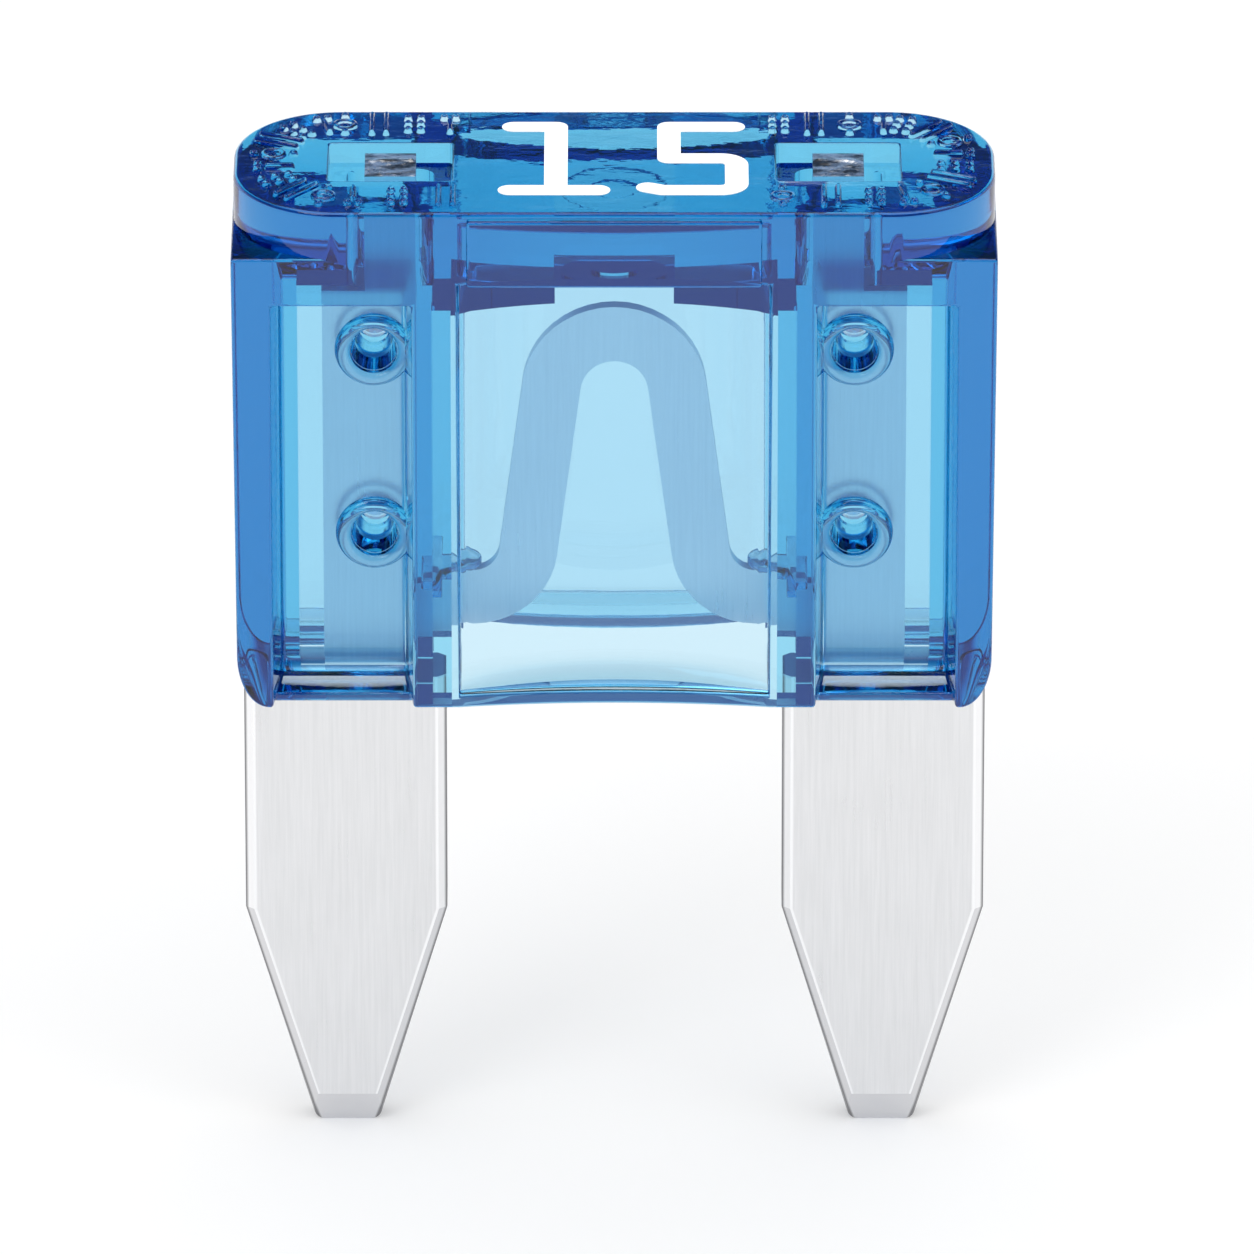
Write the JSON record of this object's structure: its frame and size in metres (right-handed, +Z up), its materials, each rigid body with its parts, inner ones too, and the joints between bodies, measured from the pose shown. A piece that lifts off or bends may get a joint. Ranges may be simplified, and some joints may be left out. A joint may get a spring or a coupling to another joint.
{
  "type": "blade fuse",
  "caption": "Small plug-in automotive blade fuse: clear blue moulded housing over a one-piece stamped metal element, with test pockets in its round-ended head.",
  "frame": {"origin": "midway between the two blade tips, at their lowest edge, where the fuse enters its socket", "axes": "+X across the width through both blades, +Y through the thickness from the front face to the back, +Z up from the tips to the head"},
  "size_m": [0.0108, 0.0038, 0.015],
  "materials": {
    "clear_blue_plastic": "transparent blue moulded plastic, polished",
    "plated_metal": "plated zinc alloy with a fine upright grain"
  },
  "bodies": {
    "root": {"housing": "clear_blue_plastic", "element": "plated_metal"}
  },
  "joints": []
}
